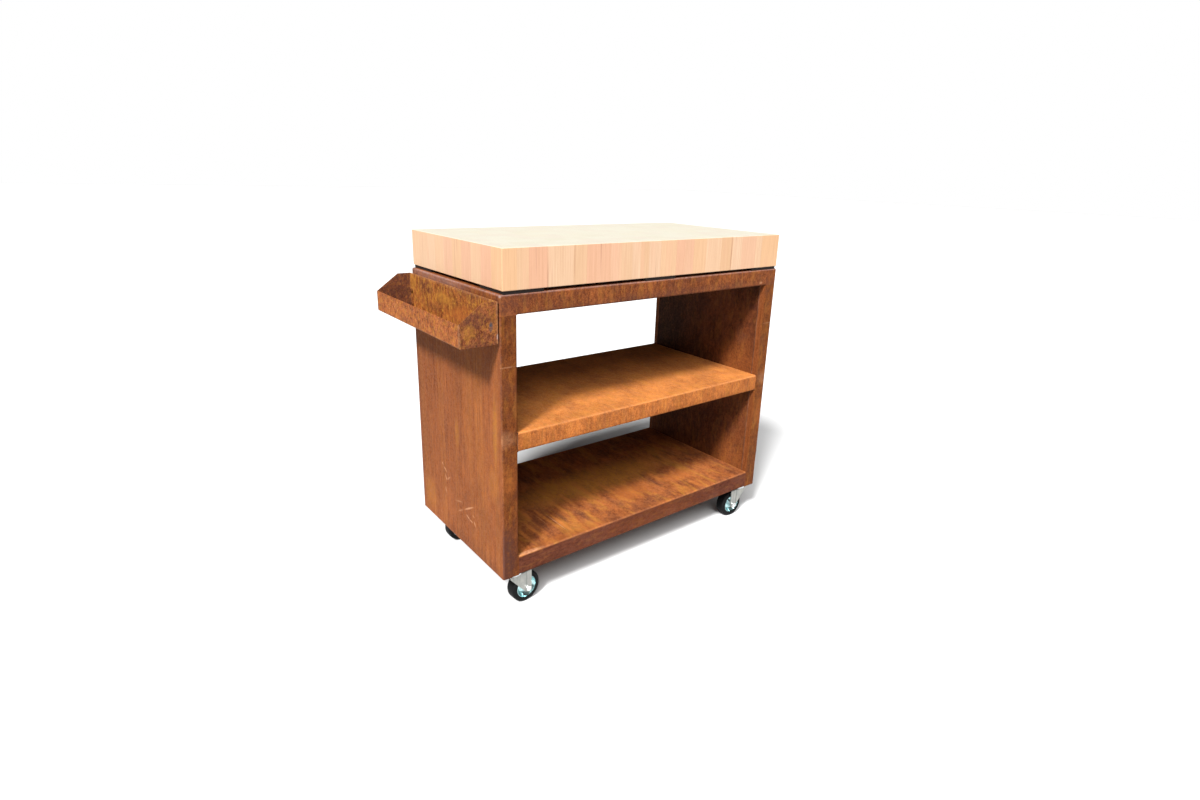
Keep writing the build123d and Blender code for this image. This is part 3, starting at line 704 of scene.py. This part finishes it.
class WORKTABLE_OT_sheet_steel(Operator):
    """Rust the cabinet's and the tray's sheet steel"""
    bl_idname = "worktable.sheet_steel"
    bl_label = "Rusted sheet steel"

    def execute(self, context):
        steel = context.scene.work_table.steel
        self.rust_walls(steel)
        self.rust_deck(steel)
        self.rust_shelves(steel)
        self.rust_tray(steel)
        return {"FINISHED"}

    def rust_walls(self, steel):
        for node, face, inside, post, foot_rust in (
                ("left_side_skin", LEFT_FACE, LEFT_INSIDE, "post", 0.95),
                ("right_side_skin", RIGHT_FACE, RIGHT_INSIDE, "right_post", 0.25)):
            posts = (post, Y_AXIS, BACK - FOLD_START, BACK - FOLD_END, True)
            edges = [((X_AXIS, face), (Y_AXIS, y)) for y in (FRONT, BACK)]
            edges.append(((X_AXIS, face), (Z_AXIS, LEFT_SKIN[0].z)))
            marks = self.panel_marks(face) + self.post_marks(face, inside, foot_rust)
            if face == LEFT_FACE:
                marks += self.scratch_marks()
            # The skins' corner and bottom edges get a faint painted sheen over their rubbed bends
            rust_node(node, steel, "panel", posts, edges, 0.15, "polished", marks)
        # The inner skins' darker rust is partly painted shade for the cabinet's inside
        for node, x in (("left_inner_skin", LEFT_INSIDE), ("right_inner_skin", RIGHT_INSIDE)):
            rust_node(node, steel, "inner", marks=self.inner_marks(x))
        rust_node("castor_plates", steel, "inner")

    def rust_deck(self, steel):
        rims = [((X_AXIS, x), (Z_AXIS, DECK[1].z)) for x in (LEFT_FACE, RIGHT_FACE)]
        rims += [((Y_AXIS, y), (Z_AXIS, DECK[1].z)) for y in (FRONT, BACK)]
        side = ("panel", X_AXIS, RIGHT_FACE - FOLD_START, RIGHT_FACE - FOLD_END, False)
        # The deck's rims get a strong painted sheen over their rubbed folds
        rust_node("top_deck", steel, "rail", side, rims, 0.8, "polished", self.rail_marks())

    def rust_shelves(self, steel):
        for node, sheet, edge, wear, marks in (("middle_shelf", "shelf", "apron", 0.35, self.shelf_marks()),
                                               ("floor_pan", "floor", "skirt", 0.2, self.floor_marks())):
            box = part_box(node)
            folds = [((Y_AXIS, y), (Z_AXIS, box[1].z)) for y in (FRONT, BACK)]
            aprons = (edge, Z_AXIS, box[1].z - FOLD_END, box[1].z - FOLD_START, False)
            rust_node(node, steel, sheet, aprons, folds, wear, "worn", marks)

    def rust_tray(self, steel):
        low, high = TRAY
        edges = [((X_AXIS, corner.x), (Z_AXIS, corner.z)) for corner in TRAY]
        edges += [((X_AXIS, x), (Y_AXIS, y)) for x in (low.x, high.x) for y in (FRONT, BACK)]
        outside = ("tray_lip", X_AXIS, low.x + FOLD_START, low.x + FOLD_END, False)
        rust_node("tray_pan", steel, "tray", outside, edges, marks=self.tray_pan_marks())
        rust_node("tray_front_end", steel, "tray_end", None, edges, marks=self.tray_end_marks())
        rust_node("tray_back_end", steel, "tray_end", None, edges, marks=self.tray_back_marks())
        rusted = rusted_steel("rusted_fixings", steel, "inner")
        for node in ("tray_bolts", "tray_spacers", "tray_rivet_nuts"):
            finish_node(node, rusted)

    def panel_marks(self, x):
        """Stain and ochre runs on the outside of a side wall."""
        lines = [(y, 0.45, 0.0022, 0.13, "purple", 0.35) for y in (-0.026, 0.008, 0.024, 0.041, 0.080)]
        return side_marks(x, (
            *lines,
            (0.235, 0.400, 0.080, 0.420, "purple", 0.35),
            (-0.100, 0.085, 0.260, 0.060, "purple", 0.35),
            (0.060, 0.410, 0.016, 0.110, "purple", 0.30),
            (-0.196, 0.460, 0.014, 0.110, "ochre", 0.40),
            (-0.185, 0.330, 0.030, 0.060, "ochre", 0.22),
            (0.170, 0.160, 0.050, 0.060, "ochre", 0.22),
            (-0.004, 0.395, 0.016, 0.050, "ochre", 0.30),
        ))

    def scratch_marks(self):
        """Two groups of scratches low on the left wall, each by y, z, its half length, strength and turn."""
        thin = 0.0034
        strokes = (
            (0.088, 0.279, 0.007, 0.9, 0.52), (0.073, 0.268, 0.014, 1.0, 0.51),
            (0.071, 0.246, 0.012, 0.9, 1.07), (0.055, 0.249, 0.016, 0.7, -0.63),
            (0.073, 0.209, 0.011, 0.8, 1.05), (-0.056, 0.211, 0.037, 1.0, -0.51),
            (0.000, 0.207, 0.028, 0.4, -0.29), (-0.009, 0.185, 0.020, 0.5, -0.50),
            (-0.050, 0.184, 0.013, 1.0, 0.32), (-0.080, 0.199, 0.009, 0.5, 0.23),
            (-0.086, 0.180, 0.010, 1.0, 1.03), (-0.067, 0.180, 0.010, 0.9, 0.08),
        )
        return side_marks(LEFT_FACE, [(y, z, half, thin, "scratch", *rest) for y, z, half, *rest in strokes])

    def post_marks(self, x, inside, foot):
        """Ground seam across each post, fresh rust halfway, old rust at the foot, a dark inner lip."""
        wide = 0.05
        marks = []
        for y in (FRONT, BACK):
            marks += front_marks(y, (
                (x, 0.617, wide, 0.0022, "worn", 0.55),
                (x, 0.343, wide, 0.060, "apron", 0.45),
                (x, 0.450, wide, 0.030, "scratch", 0.25),
                (x, 0.150, wide, 0.120, "purple", foot),
            ), depth=0.004)
            marks += front_marks(y, [(inside, 0.430, 0.004, 0.800, "post", 0.85)], depth=0.028)
        return marks

    def inner_marks(self, x):
        """Painted shade as near-black scale at the back and under the deck and the shelf, and a painted pool
        of light in fresh rust colour low at the front.
        """
        marks = []
        for low, high in ((FLOOR[1].z, SHELF[0].z), (SHELF[1].z, DECK[0].z)):
            marks += side_marks(x, (
                # Painted shade: near-black scale where the bays fall dark, at the back and under the deck and
                # the shelf
                (BACK, high, 0.300, 0.280, "scale", 0.75),
                (0.0, high, 0.600, 0.035, "scale", 0.60),
                # Painted light: the fresh rust colour low at the front stands for the lit patch there
                (-0.150, low, 0.110, 0.140, "apron", 0.40),
            ), depth=0.03)
        return marks

    def rail_marks(self):
        """Painted sheen and a knocked corner at the left, whose pale spot is also a painted glint, old rust
        at the left end, painted shade along the lower edge, a small weld patch at the right.
        """
        low, high = DECK[0].z, DECK[1].z
        # Painted sheen along the deck's left side
        marks = side_marks(LEFT_FACE, [(0.080, high - 0.008, 0.220, 0.020, "polished", 0.45)], depth=0.004)
        # Pale spot on the front left corner: bare steel with a painted glint
        marks += side_marks(LEFT_FACE, [(FRONT, high - 0.004, 0.006, 0.004, "bare", 0.4)], depth=0.006)
        for y in (FRONT, BACK):
            marks += front_marks(y, (
                (LEFT_FACE, high, 0.110, 0.070, "purple", 0.60),
                # Painted shade: a darker old-rust colour along the rail's lower edge, under the fold
                (RIGHT_FACE - 0.3, low, 0.700, 0.026, "purple", 0.48),
                (RIGHT_FACE - 0.064, low + 0.009, 0.008, 0.005, "scratch", 0.7),
            ))
        return marks

    def tray_pan_marks(self):
        """Fresh and old rust on the inside of the tray's back."""
        low, high = TRAY[0].z, TRAY[1].z
        return side_marks(TRAY[1].x, (
            (-0.050, low + 0.034, 0.095, 0.022, "apron", 0.80, -0.23),
            (0.030, low + 0.056, 0.060, 0.020, "ochre", 0.60),
            (0.207, low + 0.068, 0.024, 0.040, "ochre", 0.60),
            (0.126, high - 0.022, 0.060, 0.022, "purple", 0.45),
            (-0.098, high, 0.090, 0.020, "purple", 0.50),
            (0.085, low + 0.025, 0.050, 0.014, "purple", 0.40),
        ), depth=0.03)

    def tray_end_marks(self):
        """Old rust along the near end's edges, a short upright mark, fresh rust and a knocked corner whose
        pale spot is also a painted glint.
        """
        x, z = TRAY[1].x, (TRAY[0].z + TRAY[1].z) / 2
        return front_marks(FRONT, (
            (x - 0.054, z + 0.012, 0.036, 0.024, "purple", 0.60),
            (x - 0.044, TRAY[0].z, 0.060, 0.015, "purple", 0.50),
            (x - 0.066, z - 0.012, 0.020, 0.020, "ochre", 0.50),
            (x - 0.010, z, 0.014, 0.030, "ochre", 0.25),
            (x - 0.016, z - 0.006, 0.0064, 0.014, "slot", 1.0),
            # Pale corner spot: bare steel with a painted glint
            (x, TRAY[0].z + 0.016, 0.004, 0.008, "bare", 0.6),
        ))

    def tray_back_marks(self):
        """A dark purple patch over the far end."""
        middle = (TRAY[0] + TRAY[1]) / 2
        return front_marks(BACK, [(middle.x, middle.z, 0.15, 0.15, "purple", 0.75)])

    def shelf_marks(self):
        """Darker on the folded edges, along their foot and beside the left wall."""
        marks = []
        for y in (FRONT, BACK):
            marks += front_marks(y, (
                (LEFT_INSIDE, SHELF[0].z, 0.075, 0.060, "post", 0.45),
                (RIGHT_FACE - 0.3, SHELF[0].z, 0.600, 0.020, "post", 0.30),
            ), depth=0.004)
        return marks

    def floor_marks(self):
        """A painted pool of light across the middle, patches, drag strokes and worn spots on the floor, and a
        fresh patch on its front edge.
        """
        z = FLOOR[1].z
        marks = top_marks(z, (
            # Painted light: the first ochre patch, wide across the middle, brightens the soft edge of the
            # shelf's shadow
            (0.030, 0.000, 0.360, 0.100, "ochre", 0.70), (0.076, -0.120, 0.085, 0.060, "apron", 0.80),
            (0.259, -0.116, 0.090, 0.040, "apron", 0.65), (-0.180, -0.212, 0.170, 0.018, "apron", 0.45),
            (0.107, -0.195, 0.060, 0.030, "purple", 0.60), (-0.120, -0.150, 0.014, 0.060, "purple", 0.50),
            (-0.172, -0.130, 0.010, 0.060, "purple", 0.60), (-0.237, -0.140, 0.012, 0.070, "purple", 0.60),
            (-0.004, -0.140, 0.014, 0.070, "purple", 0.45), (0.170, -0.090, 0.012, 0.060, "purple", 0.45),
            (-0.191, -0.150, 0.008, 0.070, "shelf", 1.0), (-0.212, -0.103, 0.008, 0.060, "shelf", 1.0),
            (-0.269, -0.136, 0.008, 0.044, "shelf", 1.0), (-0.035, -0.044, 0.012, 0.070, "shelf", 0.80),
            (0.028, -0.068, 0.012, 0.050, "shelf", 0.80), (0.197, -0.084, 0.013, 0.046, "shelf", 0.80),
            (-0.106, -0.057, 0.010, 0.056, "shelf", 0.90), (0.268, -0.188, 0.013, 0.036, "shelf", 0.60),
            (-0.245, -0.060, 0.008, 0.050, "shelf", 0.90), (-0.300, -0.150, 0.008, 0.046, "shelf", 1.0),
            (-0.150, -0.090, 0.008, 0.056, "shelf", 0.90), (-0.199, -0.142, 0.0018, 0.062, "scratch", 0.90),
            (-0.225, -0.110, 0.0014, 0.040, "scratch", 0.60), (-0.330, -0.221, 0.050, 0.010, "scratch", 0.80),
        ))
        return marks + front_marks(FRONT, [(0.080, z - 0.025, 0.260, 0.040, "rail", 0.35)], depth=0.004)


class WORKTABLE_OT_welds(Operator):
    """Lay the weld beads along the cabinet's inner seams"""
    bl_idname = "worktable.welds"
    bl_label = "Weld beads"

    def execute(self, context):
        steel = context.scene.work_table.steel
        rust = self.weld_steel(steel)
        lip = 0.018
        spans = ((FLOOR[1].z, SHELF[0].z), (SHELF[1].z, DECK[0].z))
        for side, x in (("left", LEFT_INSIDE), ("right", RIGHT_INSIDE)):
            shape = bmesh.new()
            for y in (FRONT + lip, BACK - lip):
                for low, high in spans:
                    weld_bead(shape, (x, y, low), (x, y, high), steel.bead, steel.ripple)
            for y in (FRONT + steel.bead, BACK - steel.bead):
                weld_bead(shape, (x, y, SHELF[0].z), (x, y, SHELF[1].z), steel.bead, steel.ripple)
            keep_piece(f"wall_welds_{side}", shape, rust, "cabinet")
        return {"FINISHED"}

    def weld_steel(self, steel):
        material, tree, shader, place = new_finish("weld_bead")
        heat = noise(tree, place, 0.02, detail=5.0)
        tint = ramp(tree, heat, [(0.3, shade(steel.weld, (0.45, 0.42, 0.5))), (0.55, tuple(steel.weld)),
                                 (0.75, shade(steel.weld, (1.6, 1.7, 1.9)))])
        tree.links.new(tint, shader.inputs["Base Color"])
        tree.links.new(spread(tree, heat, 0.4, 0.7), shader.inputs["Roughness"])
        shader.inputs["Specular IOR Level"].default_value = 0.1
        bump(tree, shader, noise(tree, place, 0.001, detail=3.0), 0.3, 0.0003)
        return material


class WORKTABLE_OT_fixings(Operator):
    """Plate the screws, bolts and washers, and finish the pads"""
    bl_idname = "worktable.fixings"
    bl_label = "Fixings"

    def execute(self, context):
        castor = context.scene.work_table.castor
        zinc = plated_steel("fixing_zinc", shade(castor.zinc, (0.95, 0.95, 0.93)), (0.28, 0.5))
        for node in ("worktop_screws", "worktop_washers", "castor_bolts", "castor_washers", "castor_nuts",
                     "castor_retainers"):
            finish_node(node, zinc)
        finish_node("worktop_pads", dusty_rubber("pad_rubber", shade(castor.rubber, (5.0, 3.0, 2.2))))
        return {"FINISHED"}


# Castors

# Rounding of the axle's head and nut, and of its thread's end
HEAD_EASE, THREAD_EASE = 0.0009, 0.0006


def tyre_shape(castor, radius):
    """A tyre with a ring groove in each side, seated on the two rims."""
    half, seat, well = castor.tyre_width / 2, castor.rim_radius, castor.well_radius
    depth, low, middle, high = 0.0006, 0.0312, 0.0316, 0.0320
    bead, web = 0.0016, 0.0035
    points = [(-half, seat), (-half, low), (-half + depth, middle), (-half, high), (-half, radius),
              (half, radius), (half, high), (half - depth, middle), (half, low), (half, seat),
              (half - bead, seat), (web, well), (-web, well), (-half + bead, seat)]
    return spun(points, {4: castor.tyre_shoulder, 5: castor.tyre_shoulder}, 96)


def rim_shape(castor, side):
    """A pressed disc: flat web, sloped wall and rolled lip."""
    half = castor.tyre_width / 2
    web, well_bend, lip_bend = 0.0007, 0.003, 0.0012
    points = [(web, castor.hub_radius), (web, castor.well_radius - 0.0012),
              (half - 0.0028, castor.rim_radius - 0.0014), (half - 0.0010, castor.rim_radius - 0.0008)]
    points = [(along * side, radius) for along, radius in points]
    shape = spun(points, {1: well_bend, 2: lip_bend}, 72, False)
    bmesh.ops.solidify(shape, geom=shape.faces[:], thickness=castor.rim_sheet * 0.6)
    bmesh.ops.recalc_face_normals(shape, faces=shape.faces)
    return shape


def hub_shape(castor):
    """A tube between the fork's legs, with a little play."""
    play, fit, ease = 0.0003, 0.00005, 0.001
    half = castor.fork_half - castor.fork_sheet - play
    bore = castor.axle_radius + fit
    points = [(-half, bore), (-half, castor.hub_radius), (half, castor.hub_radius), (half, bore)]
    return spun(points, {1: ease, 2: ease}, 48)


def fork_shape(castor, axle):
    """A folded fork: a channel whose legs are trimmed along the slope to the axle eye."""
    half, top, back = castor.fork_half, castor.crown_top, -castor.fork_back
    reach = axle.x + castor.fork_eye
    shape = bmesh.new()
    wire(shape, [(back, -half, 0), (back, -half, top), (back, half, top), (back, half, 0)], closed=False)
    drawn = bmesh.ops.extrude_edge_only(shape, edges=shape.edges[:])["geom"]
    ends = [item for item in drawn if isinstance(item, bmesh.types.BMVert)]
    bmesh.ops.translate(shape, verts=ends, vec=(reach - back, 0, 0))
    folds = [edge for edge in shape.edges if len(edge.link_faces) == 2]
    bevel(shape, folds, castor.fork_bend, 5)
    shoulder = Vector((back, 0, top - castor.fork_shoulder)) - axle
    slope = math.atan2(shoulder.z, shoulder.x) + math.acos(castor.fork_eye / shoulder.length)
    cuts = 12
    for cut in range(cuts + 1):
        angle = slope + (math.tau - slope) * cut / cuts
        away = Vector((math.cos(angle), 0, math.sin(angle)))
        bmesh.ops.bisect_plane(shape, geom=[*shape.verts, *shape.edges, *shape.faces], dist=MERGE,
                               plane_co=axle + away * castor.fork_eye, plane_no=away, clear_outer=True)
    bmesh.ops.recalc_face_normals(shape, faces=shape.faces)
    bmesh.ops.solidify(shape, geom=shape.faces[:], thickness=castor.fork_sheet)
    return shape


def axle_bolt_shape(castor):
    half = castor.fork_half
    shape = bmesh.new()
    hexagon_prism(shape, castor.axle_flats, -half, -half - castor.axle_head, HEAD_EASE)
    round_bar(shape, castor.axle_radius, -half, half + castor.axle_nut + castor.axle_end, THREAD_EASE)
    return shape


def axle_nut_shape(castor):
    half = castor.fork_half
    shape = bmesh.new()
    hexagon_prism(shape, castor.axle_flats, half, half + castor.axle_nut, HEAD_EASE)
    return shape


class WORKTABLE_OT_castors(Operator):
    """Make the four swivel castors"""
    bl_idname = "worktable.castors"
    bl_label = "Castors"

    def execute(self, context):
        castor = context.scene.work_table.castor
        zinc = plated_steel("castor_zinc", castor.zinc, (0.25, 0.45))
        # The forks' strong dark upright streaks are partly drawn-zinc streaks and partly painted reflections
        satin_with_painted_reflections = plated_steel("fork_zinc", castor.fork, (0.34, 0.52), 0.7, 0.007)
        blued = plated_steel("rim_zinc", castor.rim, (0.08, 0.22), 0.15)
        bright = plated_steel("axle_zinc", castor.axle, (0.12, 0.26), 0.1)
        rubber = dusty_rubber("tyre_rubber", castor.rubber)
        for corner in CORNERS:
            place, axle = castor_place(corner)
            at_axle = place @ Matrix.Translation(axle)
            wheel, swivel = f"wheel_{corner}", f"swivel_{corner}"
            pieces = (
                ("moulded_tyre", "tyre", tyre_shape(castor, axle.z), at_axle, wheel, rubber, "tyre_rubber"),
                ("pressed_rim_out", "outer_rim", rim_shape(castor, 1), at_axle, wheel, blued, "zinc_steel"),
                ("pressed_rim_in", "inner_rim", rim_shape(castor, -1), at_axle, wheel, blued, "zinc_steel"),
                ("turned_hub", "hub", hub_shape(castor), at_axle, wheel, zinc, "zinc_steel"),
                ("folded_fork", "fork", fork_shape(castor, axle), place, swivel, satin_with_painted_reflections, "zinc_steel"),
                ("hex_axle", "axle_bolt", axle_bolt_shape(castor), at_axle, swivel, bright, "zinc_steel"),
                ("hex_nut", "axle_nut", axle_nut_shape(castor), at_axle, swivel, bright, "zinc_steel"),
            )
            for name, node, shape, where, body, finish, slot in pieces:
                bmesh.ops.transform(shape, matrix=where, verts=shape.verts)
                keep_piece(f"{name}_{corner}", shape, finish, body, [f"{node}_{corner}"])
            for node in ("castor_head", "castor_balls"):
                finish_node(f"{node}_{corner}", zinc)
        return {"FINISHED"}


# Stage

class WORKTABLE_OT_stage(Operator):
    """Set the pale floor, the light and the camera"""
    bl_idname = "worktable.stage"
    bl_label = "Stage"

    def execute(self, context):
        stage = context.scene.work_table.stage
        self.lay_floor(stage)
        self.light(context.scene, stage)
        self.aim_camera(context.scene, stage)
        context.scene.view_settings.view_transform = "Standard"
        return {"FINISHED"}

    def lay_floor(self, stage):
        shape = bmesh.new()
        bmesh.ops.create_grid(shape, x_segments=1, y_segments=1, size=stage.floor_size / 2)
        mesh = bpy.data.meshes.new("pale_floor")
        shape.to_mesh(mesh)
        shape.free()
        material, tree, shader, place = new_finish("pale_floor")
        tone = noise(tree, place, 0.6, detail=3.0)
        tint = ramp(tree, tone, [(0.3, shade(stage.floor, (0.98,) * 3)), (0.7, tuple(stage.floor))])
        tree.links.new(tint, shader.inputs["Base Color"])
        shader.inputs["Roughness"].default_value = 0.9
        shader.inputs["Specular IOR Level"].default_value = 0.1
        mesh.materials.append(material)
        ground = bpy.data.objects.new("pale_floor", mesh)
        bpy.context.scene.collection.objects.link(ground)

    def light(self, scene, stage):
        for name, strength, size, way in (("key", stage.sun, stage.sun_size, stage.sun_way),
                                          ("soft", stage.soft, stage.soft_size, stage.soft_way)):
            lamp = bpy.data.lights.new(name, "SUN")
            lamp.energy = strength
            lamp.angle = size
            holder = bpy.data.objects.new(name, lamp)
            holder.rotation_euler = Vector(way).to_track_quat("-Z", "Y").to_euler()
            scene.collection.objects.link(holder)
        world = bpy.data.worlds.new("soft_room")
        scene.world = world
        world.use_nodes = True
        tree = world.node_tree
        way = tree.nodes.new("ShaderNodeTexCoord").outputs["Generated"]
        depth = add(tree, "ShaderNodeSeparateXYZ", {0: way}).outputs["Y"]
        soft = spread(tree, between(tree, depth, -0.10, -0.85), stage.dim, stage.fill)
        seen = add(tree, "ShaderNodeLightPath", {}).outputs["Is Camera Ray"]
        tree.links.new(mix(tree, seen, soft, (1.0,) * 3), tree.nodes["Background"].inputs["Color"])

    def aim_camera(self, scene, stage):
        level_share = math.cos(stage.pitch)
        ahead = Vector((math.sin(stage.yaw) * level_share, math.cos(stage.yaw) * level_share,
                        -math.sin(stage.pitch)))
        level = ahead.cross(UP).normalized()
        above = level.cross(ahead)
        right = level * math.cos(stage.roll) + above * math.sin(stage.roll)
        upward = right.cross(ahead)
        lens = bpy.data.cameras.new("view")
        lens.sensor_fit = "HORIZONTAL"
        lens.sensor_width = 36.0
        lens.lens = stage.lens
        lens.shift_y = stage.shift_y
        lens.clip_end = 200.0
        camera = bpy.data.objects.new("view", lens)
        axes = Matrix((right, upward, -ahead)).transposed().to_4x4()
        camera.matrix_world = Matrix.Translation(stage.camera_place) @ axes
        scene.collection.objects.link(camera)
        scene.camera = camera


STEPS = (WORKTABLE_OT_butcher_block, WORKTABLE_OT_sheet_steel, WORKTABLE_OT_welds, WORKTABLE_OT_fixings,
         WORKTABLE_OT_castors, WORKTABLE_OT_stage)


class WORKTABLE_PT_panel(Panel):
    """Lists the steps that make the work table"""
    bl_label = "Work table"
    bl_idname = "WORKTABLE_PT_panel"
    bl_space_type = "VIEW_3D"
    bl_region_type = "UI"
    bl_category = "Work table"

    def draw(self, context):
        for step in STEPS:
            self.layout.operator(step.bl_idname)


CLASSES = (BlockSettings, SteelSettings, CastorSettings, StageSettings, WorkTableSettings, *STEPS,
           WORKTABLE_PT_panel)


def register():
    for kind in CLASSES:
        bpy.utils.register_class(kind)
    bpy.types.Scene.work_table = PointerProperty(type=WorkTableSettings)


def unregister():
    del bpy.types.Scene.work_table
    for kind in reversed(CLASSES):
        bpy.utils.unregister_class(kind)


def main():
    register()
    bpy.ops.worktable.butcher_block()
    bpy.ops.worktable.sheet_steel()
    bpy.ops.worktable.welds()
    bpy.ops.worktable.fixings()
    bpy.ops.worktable.castors()
    bpy.ops.worktable.stage()


if __name__ == "__main__":
    main()
